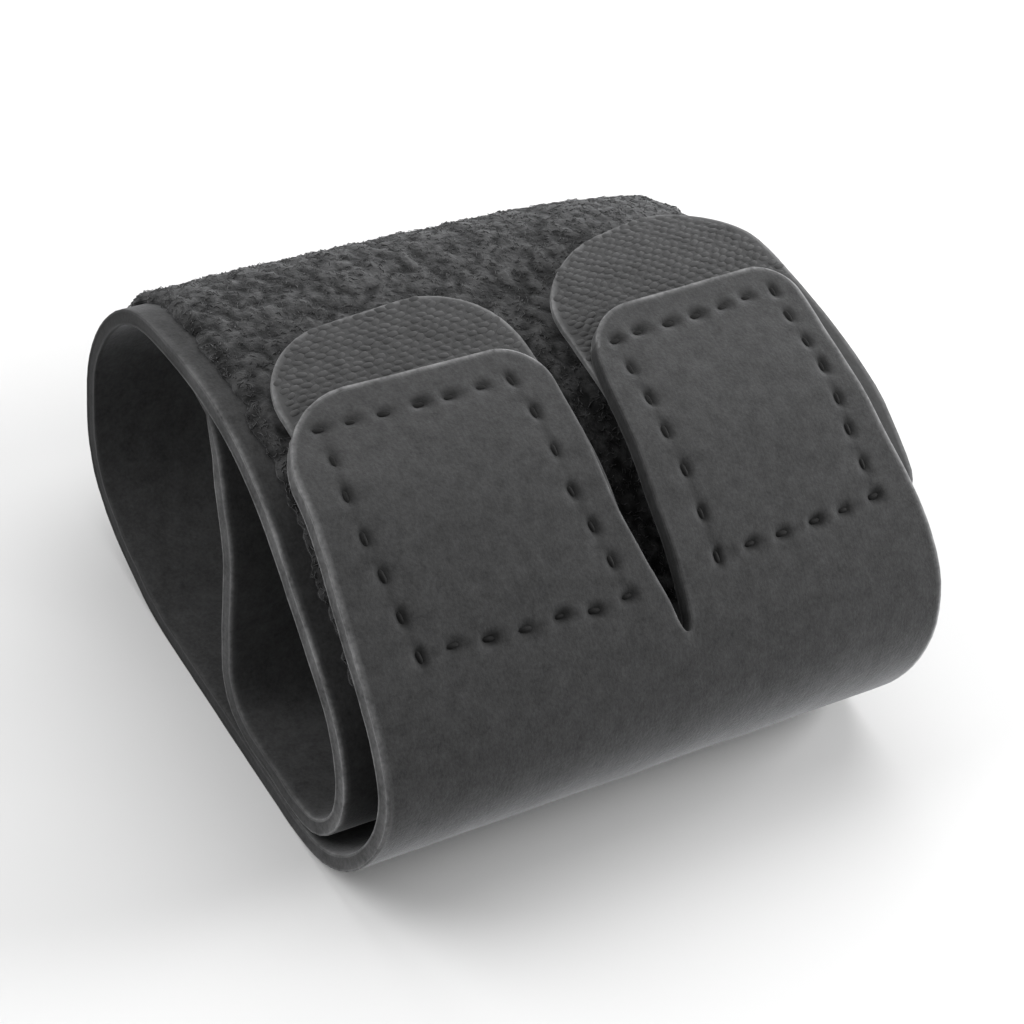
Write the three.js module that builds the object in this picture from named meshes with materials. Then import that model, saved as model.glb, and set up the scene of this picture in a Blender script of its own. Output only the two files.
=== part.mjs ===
// Finger support: a spiral-wound neoprene wrap with two finger pockets, closed by two hook tabs on a
// loop-pile panel. Millimetres, +Z up, +X along the fingers, the front fold with the flap towards -Y.
import * as THREE from 'three';

// Overall sizes
const length = 50.8; // along the fingers, from the near opening to the far one
const bodyWidth = 46.2; // back fold to outer front fold, outside
const bodyHeight = 23.3; // table to the top of the top wall, outside
// Thicknesses and clearances
const sheet = 1.2; // neoprene
const pile = 0.8; // loop-pile panel
const hook = 0.9; // hook tape
const layerGap = 0.15; // between two layers that lie on each other
// Pile panel
const pileNearMargin = 1.95; // plain neoprene left beside the pile at the near opening
const pileFarMargin = 0.7; // and at the far one
const pileFrontShare = 0.21; // where the pile starts, as a share of the way front fold, top, back fold
const pileBackShare = 0.83; // where it ends, past the shoulder of the back fold
// How the back fold's shoulder departs from a straight run between the openings
const shoulderBulge = 0.35; // out, halfway along
const farDroop = 1.4; // in, at the far opening
const droopFrom = 0.7; // where the droop starts, as a share of the length
// Mesh
const turnPerStation = 8; // degrees the sheet turns between two stations
const longestStation = 4; // mm
const columns = 5; // across each half of the strip

// The wall's centreline as seen from the near opening. across and up are shares of the body's width and
// height between the outer walls' centrelines, layer counts the sheets that lie underneath, and farAcross
// and farUp say how far, in shares of the height, the sheet stands off at the far opening. shoulder is the
// share of the shoulder's bulge and droop that a row takes part in.
const webRows = [
  { across: 0.338, up: 0.916 }, { across: 0.378, up: 0.84 }, { across: 0.424, up: 0.713 },
  { across: 0.471, up: 0.578 }, { across: 0.5, up: 0.429 }, { across: 0.527, up: 0.284 },
  { across: 0.556, up: 0.163 }, { across: 0.596, up: 0.09 },
];
const innerBottomRows = [
  { across: 0.65, up: 0, layer: 1 }, { across: 0.72, up: 0, layer: 1 }, { across: 0.79, up: 0, layer: 1 },
];
const frontFoldRows = [
  { across: 0.85, up: 0.082 }, { across: 0.884, up: 0.149 }, { across: 0.898, up: 0.239 },
  { across: 0.889, up: 0.334 }, { across: 0.862, up: 0.433 }, { across: 0.816, up: 0.533 },
  { across: 0.749, up: 0.623 }, { across: 0.68, up: 0.709 }, { across: 0.609, up: 0.795 },
];
const topRows = [
  { across: 0.538, up: 0.876 }, { across: 0.467, up: 0.939 }, { across: 0.396, up: 0.981 },
  { across: 0.32, up: 1 }, { across: 0.242, up: 0.997, shoulder: 0.25 },
  { across: 0.169, up: 0.98, shoulder: 0.75 },
];
const backFoldRows = [
  { across: 0.107, up: 0.953, shoulder: 1 }, { across: 0.058, up: 0.898, shoulder: 0.9 },
  { across: 0.024, up: 0.808, shoulder: 0.4 },
  { across: 0.004, up: 0.695 }, { across: 0, up: 0.569 }, { across: 0.018, up: 0.433 },
  { across: 0.051, up: 0.289 }, { across: 0.102, up: 0.181 }, { across: 0.173, up: 0.099 },
  { across: 0.262, up: 0.041 }, { across: 0.31, up: 0.015 },
];
const outerBottomRows = [
  { across: 0.36, up: 0.002 }, { across: 0.42, up: 0 }, { across: 0.6, up: 0 }, { across: 0.78, up: 0 },
];
const flapRows = [
  { across: 0.822, up: 0.002 }, { across: 0.898, up: 0.041 }, { across: 0.956, up: 0.14 },
  { across: 0.989, up: 0.271 }, { across: 1, up: 0.406, farAcross: 0.01, farUp: 0.01 },
  { across: 0.987, up: 0.528, farAcross: 0.025, farUp: 0.025 },
  { across: 0.942, up: 0.65, farAcross: 0.04, farUp: 0.04 },
  { across: 0.882, up: 0.763, farAcross: 0.04, farUp: 0.045 },
  { across: 0.813, up: 0.867, farAcross: 0.03, farUp: 0.045 },
  { across: 0.742, up: 0.957, farAcross: 0.018, farUp: 0.04 },
  { across: 0.676, up: 1.034, farAcross: 0.01, farUp: 0.03 },
  { across: 0.604, up: 1.09, farUp: 0.015 },
];

// The flap's cut. out is the share of the way from the bottom's front end to the end of the hook tape's
// line over the back, and the edges are shares of the length.
const flapCut = [
  { out: 0, near: 0, slitNear: 0.522, slitFar: 0.535, far: 1 },
  { out: 0.2, near: -0.004, slitNear: 0.522, slitFar: 0.535, far: 0.994 },
  { out: 0.3, near: -0.005, slitNear: 0.522, slitFar: 0.535, far: 1.004 },
  { out: 0.36, near: -0.007, slitNear: 0.51, slitFar: 0.537, far: 1.002 },
  { out: 0.42, near: -0.008, slitNear: 0.488, slitFar: 0.54, far: 0.992 },
  { out: 0.5, near: -0.004, slitNear: 0.47, slitFar: 0.541, far: 0.978 },
  { out: 0.6, near: 0.004, slitNear: 0.472, slitFar: 0.552, far: 0.973 },
  { out: 0.7, near: 0.012, slitNear: 0.479, slitFar: 0.568, far: 0.977 },
  { out: 1, near: 0.012, slitNear: 0.479, slitFar: 0.57, far: 0.977 },
];
const slitTip = 0.329; // where the slit starts, as out
const slitTipRound = 0.016; // the slit opens to its full width in this share
const tabs = {
  near: { end: 0.706, outerCorner: 7.5, slitCorner: 3.8, slant: 0 },
  far: { end: 0.7285, outerCorner: 3.3, slitCorner: 5.6, slant: 0.3 },
};
// Hook tapes under the tabs: start and end as out, edges as shares of the length, corners in mm. slant is
// how much shorter than its right side a tape's or a tab's left side is, in mm, and lean how far a tape's
// right side has drawn in at its end.
const hookTapes = {
  near: { start: 0.372, end: 0.831, left: 0.06, right: 0.492, leftCorner: 7.5, rightCorner: 7.6, slant: 1.8, lean: 0 },
  far: { start: 0.385, end: 0.9, left: 0.566, right: 1.026, leftCorner: 8.5, rightCorner: 7.5, slant: 5.2, lean: 3 },
};
const tapeStartCorner = 3.5; // radius of both corners at a tape's lower end
const tapeFarLift = 0.6; // how far the tapes' ends stand off the pile at the far opening

// Works out a row's place in mm, as across and up from the back and the table
function place(row) {
  const lift = (row.layer ?? 0) * (sheet + layerGap);
  return {
    w: sheet / 2 + row.across * (bodyWidth - sheet),
    t: sheet / 2 + row.up * (bodyHeight - sheet) + lift,
    dw: (row.farAcross ?? 0) * bodyHeight,
    dt: (row.farUp ?? 0) * bodyHeight,
    shoulder: row.shoulder ?? 0,
  };
}

// How far out the shoulder stands at a share of the length
function shoulderAt(side) {
  const droop = Math.max((side - droopFrom) / (1 - droopFrom), 0);
  return shoulderBulge * Math.sin(Math.PI * THREE.MathUtils.clamp(side, 0, 1)) - farDroop * droop * droop;
}

// A smooth path through placed rows, with a second shape at the far opening
function pathOf(points) {
  const near = new THREE.CatmullRomCurve3(points.map((p) => new THREE.Vector3(p.w, p.t, 0)), false, 'centripetal');
  const shift = new THREE.CatmullRomCurve3(
    points.map((p) => new THREE.Vector3(p.dw ?? 0, p.dt ?? 0, p.shoulder)), false, 'catmullrom');
  // distance along the near curve at a row number, which may be a fraction
  const fine = 40 * (points.length - 1);
  const travelled = [0];
  let last = near.getPoint(0);
  for (let i = 1; i <= fine; i++) {
    const p = near.getPoint(i / fine);
    travelled.push(travelled[i - 1] + p.distanceTo(last));
    last = p;
  }
  const rows = points.length - 1;
  return {
    rows,
    point(row, side) {
      const p = near.getPoint(row / rows);
      const s = shift.getPoint(row / rows);
      const t = near.getTangent(row / rows);
      const out = s.z * shoulderAt(side);
      // the table holds the outer wall up
      return new THREE.Vector3(p.x + s.x * side + t.y * out, Math.max(p.y + s.y * side - t.x * out, sheet / 2), 0);
    },
    shoulder: (row) => shift.getPoint(row / rows).z,
    // unit vector out of the wrap, square to the path
    outward(row, side) {
      const step = 0.01;
      const a = this.point(Math.max(row - step, 0), side);
      const b = this.point(Math.min(row + step, rows), side);
      const along = b.sub(a).normalize();
      return new THREE.Vector3(along.y, -along.x, 0);
    },
    distance(row) {
      const at = (row / rows) * fine;
      const i = Math.min(Math.floor(at), fine - 1);
      return travelled[i] + (travelled[i + 1] - travelled[i]) * (at - i);
    },
    rowAt(distance) {
      let low = 0;
      let high = rows;
      for (let i = 0; i < 40; i++) {
        const middle = (low + high) / 2;
        if (this.distance(middle) < distance) low = middle;
        else high = middle;
      }
      return (low + high) / 2;
    },
  };
}

// Stations between two rows: one wherever the path has turned or run far enough, and one at each mark
function stationsOf(path, from, to, marks = []) {
  const list = [from];
  let turned = 0;
  let ran = 0;
  let before = path.outward(from, 0);
  const step = 0.02;
  for (let row = from + step; row < to; row += step) {
    const now = path.outward(row, 0);
    turned += THREE.MathUtils.radToDeg(now.angleTo(before));
    ran += path.distance(row) - path.distance(row - step);
    before = now;
    if (turned > turnPerStation || ran > longestStation) {
      list.push(row);
      turned = 0;
      ran = 0;
    }
  }
  list.push(to);
  const wanted = marks.filter((m) => m > from && m < to);
  const kept = list.filter((s) => s === from || s === to
    || wanted.every((m) => Math.abs(path.distance(m) - path.distance(s)) > 0.3));
  return [...kept, ...wanted].sort((a, b) => a - b);
}

// Cells of four corners [row, across] between two edges that depend on the row
function patch(stations, low, high, count) {
  const cells = [];
  const corner = (row, i) => [row, THREE.MathUtils.lerp(low(row), high(row), i / count)];
  for (let s = 0; s + 1 < stations.length; s++) {
    for (let i = 0; i < count; i++) {
      const [a, b] = [stations[s], stations[s + 1]];
      cells.push([corner(a, i), corner(a, i + 1), corner(b, i + 1), corner(b, i)]);
    }
  }
  return cells;
}

// A closed solid on the cells, from height low to height high above the path
function solid(path, cells, low, high) {
  const ids = new Map();
  const domain = [];
  const idOf = (c) => {
    const key = `${c[0].toFixed(4)} ${c[1].toFixed(4)}`;
    if (!ids.has(key)) {
      ids.set(key, domain.length);
      domain.push(c);
    }
    return ids.get(key);
  };
  const quads = cells.map((cell) => cell.map(idOf));
  const count = domain.length;
  const positions = [];
  for (const height of [high, low]) {
    for (const [row, across] of domain) {
      const side = across / length;
      const p = path.point(row, side).addScaledVector(path.outward(row, side), height);
      positions.push(across, -p.x, p.y);
    }
  }
  const index = [];
  const triangle = (a, b, c) => {
    if (a !== b && b !== c && c !== a) index.push(a, b, c);
  };
  const edges = new Set();
  for (const q of quads) {
    const ring = q.filter((v, i) => v !== q[(i + 1) % 4]);
    for (let i = 0; i < ring.length; i++) edges.add(`${ring[i]} ${ring[(i + 1) % ring.length]}`);
    for (let i = 1; i + 1 < ring.length; i++) {
      triangle(ring[0], ring[i], ring[i + 1]);
      triangle(count + ring[0], count + ring[i + 1], count + ring[i]);
    }
  }
  for (const edge of edges) {
    const [a, b] = edge.split(' ').map(Number);
    if (edges.has(`${b} ${a}`)) continue;
    triangle(a, count + b, b);
    triangle(a, count + a, count + b);
  }
  const geometry = new THREE.BufferGeometry();
  geometry.setAttribute('position', new THREE.Float32BufferAttribute(positions, 3));
  geometry.setIndex(index);
  geometry.computeVertexNormals();
  return geometry;
}

// The whole strip, from the inner end that is sewn under the top wall to the ends of the tabs
const top = topRows.map(place);
const topPath = pathOf([...frontFoldRows, ...topRows, ...backFoldRows].map(place));
const stack = sheet + layerGap * 3 + pile + hook; // tab's centreline above the top wall's
const offTop = (row, height) => {
  const index = frontFoldRows.length + row;
  const p = topPath.point(index, 0).addScaledVector(topPath.outward(index, 0), height);
  return { w: p.x, t: p.y, shoulder: topPath.shoulder(index) };
};
const sewnEnd = [3.55, 3.2, 2.8].map((row) => offTop(row, -(sheet + layerGap)));
const flapOverTop = [2.4, 3.2, 4, 5, 6, 7].map((row) => ({ ...offTop(row, stack), dt: tapeFarLift }));
const body = [...webRows, ...innerBottomRows, ...frontFoldRows].map(place);
const around = [...backFoldRows, ...outerBottomRows].map(place);
const strip = pathOf([...sewnEnd, ...body, ...top, ...around, ...flapRows.map(place), ...flapOverTop]);
const flapStart = sewnEnd.length + body.length + top.length + around.length;
const flapRun = strip.distance(strip.rows) - strip.distance(flapStart);
const outAt = (row) => (strip.distance(row) - strip.distance(flapStart)) / flapRun;
const rowOut = (out) => strip.rowAt(strip.distance(flapStart) + out * flapRun);

// One edge of the cut in mm, smooth between the table's rows
function cutEdge(column) {
  const line = new THREE.CatmullRomCurve3(flapCut.map((r) => new THREE.Vector3(r.out, r[column], 0)), false,
    'catmullrom', 0.5);
  return (out) => {
    if (out <= 0) return flapCut[0][column] * length;
    let low = 0;
    let high = 1;
    for (let i = 0; i < 30; i++) {
      const middle = (low + high) / 2;
      if (line.getPoint(middle).x < out) low = middle;
      else high = middle;
    }
    return line.getPoint(low).y * length;
  };
}
const nearEdge = cutEdge('near');
const farEdge = cutEdge('far');
const slitNearLine = cutEdge('slitNear');
const slitFarLine = cutEdge('slitFar');
// the slit's edges meet before its tip and part quickly behind it
function slitEdge(line) {
  return (out) => {
    const middle = (slitNearLine(out) + slitFarLine(out)) / 2;
    if (out <= slitTip) return (slitNearLine(slitTip) + slitFarLine(slitTip)) / 2;
    const open = Math.min((out - slitTip) / slitTipRound, 1);
    return middle + (line(out) - middle) * Math.sqrt(open * (2 - open));
  };
}
const slitNear = slitEdge(slitNearLine);
const slitFar = slitEdge(slitFarLine);
// how far a rounded corner draws an edge in, at a distance from the end
const cornerIn = (radius, left) => {
  if (left >= radius) return 0;
  return radius - Math.sqrt(Math.max(radius * radius - (radius - left) ** 2, 0));
};
const cornerSteps = [1, 0.8, 0.6, 0.42, 0.27, 0.15, 0.06];

// Cells whose free end is cut askew: the left side stops short by the slant, which builds up from the start
function slanted(cells, piece, start, leftEdge, rightEdge) {
  return cells.map((cell) => cell.map(([row, across]) => {
    const reach = (outAt(row) - start) / (piece.end - start);
    if (reach <= 0.01 || piece.slant === 0) return [row, across];
    const share = THREE.MathUtils.clamp((rightEdge - across) / (rightEdge - leftEdge), 0, 1);
    return [rowOut(outAt(row) - (piece.slant / flapRun) * share * reach * reach), across];
  }));
}

function tabEdges(tab, outer, inner, outerSign) {
  const left = (row) => (tab.end - outAt(row)) * flapRun;
  return {
    outer: (row) => outer(outAt(row)) + outerSign * cornerIn(tab.outerCorner, left(row)),
    inner: (row) => inner(outAt(row)) - outerSign * cornerIn(tab.slitCorner, left(row)),
    marks: [tab.outerCorner, tab.slitCorner].flatMap((radius) => cornerSteps.map(
      (share) => rowOut(tab.end - (radius * share) / flapRun))),
  };
}
const nearTab = tabEdges(tabs.near, nearEdge, slitNear, 1);
const farTab = tabEdges(tabs.far, farEdge, slitFar, -1);
const splitRow = rowOut(slitTip + slitTipRound);
const tipMarks = [0, 0.1, 0.35, 0.65].map((share) => rowOut(slitTip + share * slitTipRound));
const wholeStations = stationsOf(strip, 0, splitRow, tipMarks);
const nearStations = stationsOf(strip, splitRow, rowOut(tabs.near.end), nearTab.marks);
const farStations = stationsOf(strip, splitRow, rowOut(tabs.far.end), farTab.marks);
const stripCells = [
  ...patch(wholeStations, (row) => nearEdge(outAt(row)), (row) => slitNear(outAt(row)), columns),
  ...patch(wholeStations, (row) => slitFar(outAt(row)), (row) => farEdge(outAt(row)), columns),
  ...patch(nearStations, nearTab.outer, nearTab.inner, columns),
  ...slanted(patch(farStations, farTab.inner, farTab.outer, columns), tabs.far, slitTip + slitTipRound,
    slitFar(tabs.far.end), farEdge(tabs.far.end)),
];
const wrapGeometry = solid(strip, stripCells, -sheet / 2, sheet / 2);

// Pile panel on the outside of the front fold, top wall and back fold
const pileStations = stationsOf(topPath, pileFrontShare * topPath.rows, pileBackShare * topPath.rows);
const pileCells = patch(pileStations, () => pileNearMargin, () => length - pileFarMargin, columns * 2);
const pileLow = sheet / 2 + layerGap;
const pileGeometry = solid(topPath, pileCells, pileLow, pileLow + pile);

// A hook tape under its tab, with rounded corners
function hookTape(tape) {
  const left = (row) => (tape.end - outAt(row)) * flapRun;
  const startIn = (row) => cornerIn(tapeStartCorner, (outAt(row) - tape.start) * flapRun);
  const leanIn = (row) => tape.lean * Math.max((outAt(row) - tape.start) / (tape.end - tape.start), 0) ** 3;
  const marks = [tape.leftCorner, tape.rightCorner].flatMap((radius) => cornerSteps.map(
    (share) => rowOut(tape.end - (radius * share) / flapRun)));
  marks.push(...cornerSteps.map((share) => rowOut(tape.start + (tapeStartCorner * share) / flapRun)));
  const stations = stationsOf(strip, rowOut(tape.start), rowOut(tape.end), marks);
  const cells = patch(stations, (row) => tape.left * length + cornerIn(tape.leftCorner, left(row)) + startIn(row),
    (row) => tape.right * length - leanIn(row) - cornerIn(tape.rightCorner, left(row)) - startIn(row), columns);
  const high = -(sheet / 2 + layerGap);
  return solid(strip, slanted(cells, tape, tape.start, tape.left * length, tape.right * length), high - hook, high);
}

const neoprene = new THREE.MeshStandardMaterial({ color: 0x2b2b2c, roughness: 0.85, metalness: 0 });
const loops = new THREE.MeshStandardMaterial({ color: 0x232324, roughness: 1, metalness: 0 });
const weave = new THREE.MeshStandardMaterial({ color: 0x2f2f30, roughness: 0.7, metalness: 0 });

const group = new THREE.Group();
function add(name, geometry, material) {
  const mesh = new THREE.Mesh(geometry, material);
  mesh.name = name;
  group.add(mesh);
}
add('wrap_sheet', wrapGeometry, neoprene);
add('pile_panel', pileGeometry, loops);
add('near_hook_tape', hookTape(hookTapes.near), weave);
add('far_hook_tape', hookTape(hookTapes.far), weave);

// The origin is under the middle of the part, on the table
const box = new THREE.Box3().setFromObject(group);
const middle = box.getCenter(new THREE.Vector3());
group.position.set(-middle.x, -middle.y, -box.min.z);

export default group;
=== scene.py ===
import math

import bpy
import numpy as np
from mathutils import Matrix, Vector, kdtree, noise


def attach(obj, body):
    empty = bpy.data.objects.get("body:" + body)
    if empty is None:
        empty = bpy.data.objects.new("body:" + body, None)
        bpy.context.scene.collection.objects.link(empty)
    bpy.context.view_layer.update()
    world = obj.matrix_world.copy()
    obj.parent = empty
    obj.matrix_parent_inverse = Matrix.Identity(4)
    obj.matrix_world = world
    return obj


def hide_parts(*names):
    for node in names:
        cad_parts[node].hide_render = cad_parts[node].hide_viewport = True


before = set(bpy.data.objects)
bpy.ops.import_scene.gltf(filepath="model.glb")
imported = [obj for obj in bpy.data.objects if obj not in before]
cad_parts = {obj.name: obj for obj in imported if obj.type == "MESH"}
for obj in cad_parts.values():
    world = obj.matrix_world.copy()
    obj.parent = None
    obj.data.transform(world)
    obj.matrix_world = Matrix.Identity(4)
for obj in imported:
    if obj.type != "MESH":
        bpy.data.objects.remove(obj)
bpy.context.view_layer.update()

# Wrap sheet. One strip of 1.2 mm neoprene with a jersey face on each side, knife-cut, wound into two
# finger pockets and brought round the front as a flap that a slit parts into two tabs. Its inner end is
# sewn under the top wall. Sizes are in mm; across and up are shares of the body's width and height.
length, body_width, body_height = 50.8, 46.2, 23.3
sheet, pile, hook, layer_gap = 1.2, 0.8, 0.9, 0.15
place_x, place_y = -25.852, 22.7307  # the near end of the back fold, in the part's frame
shoulder_bulge, far_droop, droop_from = 0.35, 1.4, 0.7
web_rows = [
    dict(across=0.338, up=0.916), dict(across=0.378, up=0.84), dict(across=0.424, up=0.713),
    dict(across=0.471, up=0.578), dict(across=0.5, up=0.429), dict(across=0.527, up=0.284),
    dict(across=0.556, up=0.163), dict(across=0.596, up=0.09),
]
inner_bottom_rows = [
    dict(across=0.65, up=0, layer=1), dict(across=0.72, up=0, layer=1), dict(across=0.79, up=0, layer=1),
]
front_fold_rows = [
    dict(across=0.85, up=0.082), dict(across=0.884, up=0.149), dict(across=0.898, up=0.239),
    dict(across=0.889, up=0.334), dict(across=0.862, up=0.433), dict(across=0.816, up=0.533),
    dict(across=0.749, up=0.623), dict(across=0.68, up=0.709), dict(across=0.609, up=0.795),
]
top_rows = [
    dict(across=0.538, up=0.876), dict(across=0.467, up=0.939), dict(across=0.396, up=0.981),
    dict(across=0.32, up=1), dict(across=0.242, up=0.997, shoulder=0.25),
    dict(across=0.169, up=0.98, shoulder=0.75),
]
back_fold_rows = [
    dict(across=0.107, up=0.953, shoulder=1), dict(across=0.058, up=0.898, shoulder=0.9),
    dict(across=0.024, up=0.808, shoulder=0.4), dict(across=0.004, up=0.695), dict(across=0, up=0.569),
    dict(across=0.018, up=0.433), dict(across=0.051, up=0.289), dict(across=0.102, up=0.181),
    dict(across=0.173, up=0.099), dict(across=0.262, up=0.041), dict(across=0.31, up=0.015),
]
outer_bottom_rows = [
    dict(across=0.36, up=0.002), dict(across=0.42, up=0), dict(across=0.6, up=0), dict(across=0.78, up=0),
]
flap_rows = [
    dict(across=0.822, up=0.002), dict(across=0.898, up=0.041), dict(across=0.956, up=0.14),
    dict(across=0.989, up=0.271), dict(across=1, up=0.406, far_across=0.01, far_up=0.01),
    dict(across=0.987, up=0.528, far_across=0.025, far_up=0.025),
    dict(across=0.942, up=0.65, far_across=0.04, far_up=0.04),
    dict(across=0.882, up=0.763, far_across=0.04, far_up=0.045),
    dict(across=0.813, up=0.867, far_across=0.03, far_up=0.045),
    dict(across=0.742, up=0.957, far_across=0.018, far_up=0.04),
    dict(across=0.676, up=1.034, far_across=0.01, far_up=0.03),
    dict(across=0.604, up=1.09, far_up=0.015),
]
# The flap's cut: out is the share of the flap's run, the edges are shares of the length
flap_cut = [
    dict(out=0, near=0, slit_near=0.522, slit_far=0.535, far=1),
    dict(out=0.2, near=-0.004, slit_near=0.522, slit_far=0.535, far=0.994),
    dict(out=0.3, near=-0.005, slit_near=0.522, slit_far=0.535, far=1.004),
    dict(out=0.36, near=-0.007, slit_near=0.51, slit_far=0.537, far=1.002),
    dict(out=0.42, near=-0.008, slit_near=0.488, slit_far=0.54, far=0.992),
    dict(out=0.5, near=-0.004, slit_near=0.47, slit_far=0.541, far=0.978),
    dict(out=0.6, near=0.004, slit_near=0.472, slit_far=0.552, far=0.973),
    dict(out=0.7, near=0.012, slit_near=0.479, slit_far=0.568, far=0.977),
    dict(out=1, near=0.012, slit_near=0.479, slit_far=0.57, far=0.977),
]
slit_tip, slit_tip_round = 0.329, 0.016
near_tab = dict(end=0.706, outer_corner=7.5, slit_corner=3.8, slant=0)
far_tab = dict(end=0.7285, outer_corner=3.3, slit_corner=5.6, slant=0.3)
# The hook tapes below the tabs, in the same shares, with corners and slant in mm
near_tape = dict(start=0.372, end=0.831, left=0.06, right=0.492, left_corner=7.5, right_corner=7.6, slant=1.8, lean=0)
far_tape = dict(start=0.385, end=0.9, left=0.566, right=1.026, left_corner=8.5, right_corner=7.5, slant=5.2, lean=3)
tape_start_corner, tape_far_lift = 3.5, 0.6


def spline(points, centripetal):
    """A smooth line through points: rows in, places out."""
    p = np.asarray(points, float)
    held = np.vstack([2 * p[0] - p[1], p, 2 * p[-1] - p[-2]])

    def at(rows):
        rows = np.clip(np.asarray(rows, float), 0, len(p) - 1)
        i = np.minimum(rows.astype(int), len(p) - 2)
        w = (rows - i)[..., None]
        x0, x1, x2, x3 = (held[i + k] for k in range(4))
        if centripetal:
            d0, d1, d2 = (np.sqrt(np.linalg.norm(b - a, axis=-1))[..., None]
                          for a, b in ((x0, x1), (x1, x2), (x2, x3)))
            t1 = ((x1 - x0) / d0 - (x2 - x0) / (d0 + d1) + (x2 - x1) / d1) * d1
            t2 = ((x2 - x1) / d1 - (x3 - x1) / (d1 + d2) + (x3 - x2) / d2) * d1
        else:
            t1, t2 = (x2 - x0) / 2, (x3 - x1) / 2
        return x1 + t1 * w + (3 * (x2 - x1) - 2 * t1 - t2) * w**2 + (2 * (x1 - x2) + t1 + t2) * w**3

    return at


def placed(row):
    lift = row.get("layer", 0) * (sheet + layer_gap)
    return (sheet / 2 + row["across"] * (body_width - sheet), sheet / 2 + row["up"] * (body_height - sheet) + lift,
            row.get("far_across", 0) * body_height, row.get("far_up", 0) * body_height, row.get("shoulder", 0))


class ClothPath:
    """The run of a wall seen from the near opening, which drifts a little towards the far one."""

    def __init__(self, rows):
        a = np.asarray(rows, float)
        self.near, self.shift, self.rows = spline(a[:, :2], True), spline(a[:, 2:], False), len(a) - 1
        self.fine = np.linspace(0, self.rows, 40 * self.rows + 1)
        steps = np.linalg.norm(np.diff(self.near(self.fine), axis=0), axis=1)
        self.travelled = np.r_[0, np.cumsum(steps)]
        self.run = self.travelled[-1]

    def row(self, distance):
        return np.interp(distance, self.travelled, self.fine)

    def distance(self, row):
        return np.interp(row, self.fine, self.travelled)

    def middle(self, row, side):
        step = 1e-3
        p, s = self.near(row), self.shift(row)
        t = self.near(np.minimum(row + step, self.rows)) - self.near(np.maximum(row - step, 0))
        t /= np.linalg.norm(t, axis=-1)[..., None]
        droop = np.maximum((side - droop_from) / (1 - droop_from), 0)
        out = s[..., 2] * (shoulder_bulge * np.sin(np.pi * np.clip(side, 0, 1)) - far_droop * droop**2)
        w = p[..., 0] + s[..., 0] * side + t[..., 1] * out
        up = np.maximum(p[..., 1] + s[..., 1] * side - t[..., 0] * out, sheet / 2)
        return np.stack([w, up], axis=-1)

    def place(self, distance, across, height):
        """Points in the part's frame, in mm, with the unit vectors out of the cloth and along its run."""
        distance, across, height = np.broadcast_arrays(distance, across, height)
        row, side = self.row(distance), across / length
        p = self.middle(row, side)
        t = self.middle(np.minimum(row + 0.01, self.rows), side) - self.middle(np.maximum(row - 0.01, 0), side)
        t /= np.linalg.norm(t, axis=-1)[..., None]
        w, up = p[..., 0] + t[..., 1] * height, p[..., 1] - t[..., 0] * height
        zero = np.zeros_like(w)
        return (np.stack([across + place_x, place_y - w, up], -1),
                np.stack([zero, -t[..., 1], -t[..., 0]], -1), np.stack([zero, -t[..., 0], t[..., 1]], -1))


top_path = ClothPath([placed(r) for r in front_fold_rows + top_rows + back_fold_rows])
stack = sheet + 3 * layer_gap + pile + hook


def off_top(row, height, far_lift=0.0):
    index = len(front_fold_rows) + row
    p, step = top_path.middle(index, 0.0), 0.01
    t = top_path.middle(index + step, 0.0) - top_path.middle(index - step, 0.0)
    t /= np.linalg.norm(t)
    return (p[0] + t[1] * height, p[1] - t[0] * height, 0, far_lift, float(top_path.shift(index)[2]))


sewn_end = [off_top(row, -(sheet + layer_gap)) for row in (3.55, 3.2, 2.8)]
flap_over_top = [off_top(row, stack, tape_far_lift) for row in (2.4, 3.2, 4, 5, 6, 7)]
before_flap = web_rows + inner_bottom_rows + front_fold_rows + top_rows + back_fold_rows + outer_bottom_rows
strip = ClothPath(sewn_end + [placed(r) for r in before_flap + flap_rows] + flap_over_top)
flap_start = float(strip.distance(len(sewn_end) + len(before_flap)))
flap_run = strip.run - flap_start


def out_at(distance):
    return (distance - flap_start) / flap_run


def cut_edge(column):
    line = spline([(r["out"], r[column]) for r in flap_cut], False)(np.linspace(0, len(flap_cut) - 1, 400))
    return lambda distance: np.interp(out_at(distance), line[:, 0], line[:, 1]) * length


near_edge, far_edge, slit_near_line, slit_far_line = (
    cut_edge(c) for c in ("near", "far", "slit_near", "slit_far"))


def slit_edge(line):
    def at(distance):
        tip = flap_start + slit_tip * flap_run
        middle = (slit_near_line(distance) + slit_far_line(distance)) / 2
        still = (slit_near_line(tip) + slit_far_line(tip)) / 2
        part = np.clip((out_at(distance) - slit_tip) / slit_tip_round, 0, 1)
        return np.where(out_at(distance) <= slit_tip, still,
                        middle + (line(distance) - middle) * np.sqrt(part * (2 - part)))
    return at


slit_near, slit_far = slit_edge(slit_near_line), slit_edge(slit_far_line)


def corner_in(radius, left):
    return radius - np.sqrt(np.maximum(radius**2 - np.maximum(radius - left, 0) ** 2, 0))


tape_top = -(sheet / 2 + layer_gap)


def tape_place(tape):
    """A function from (left to right share, mm short of the end) to (distance, across) on the tape."""
    start, end = (flap_start + tape[k] * flap_run for k in ("start", "end"))
    left, right = tape["left"] * length, tape["right"] * length

    def at(share, short):
        row = end - short
        low_corner = corner_in(tape_start_corner, row - start)
        a = left + corner_in(tape["left_corner"], short) + low_corner
        reach = np.clip((row - start) / (end - start), 0, 1)
        b = right - tape["lean"] * reach**3 - corner_in(tape["right_corner"], short) - low_corner
        across = a + (b - a) * share
        part = np.clip((right - across) / (right - left), 0, 1)
        return row - tape["slant"] * part * reach**2, across
    return at, end - start


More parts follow.
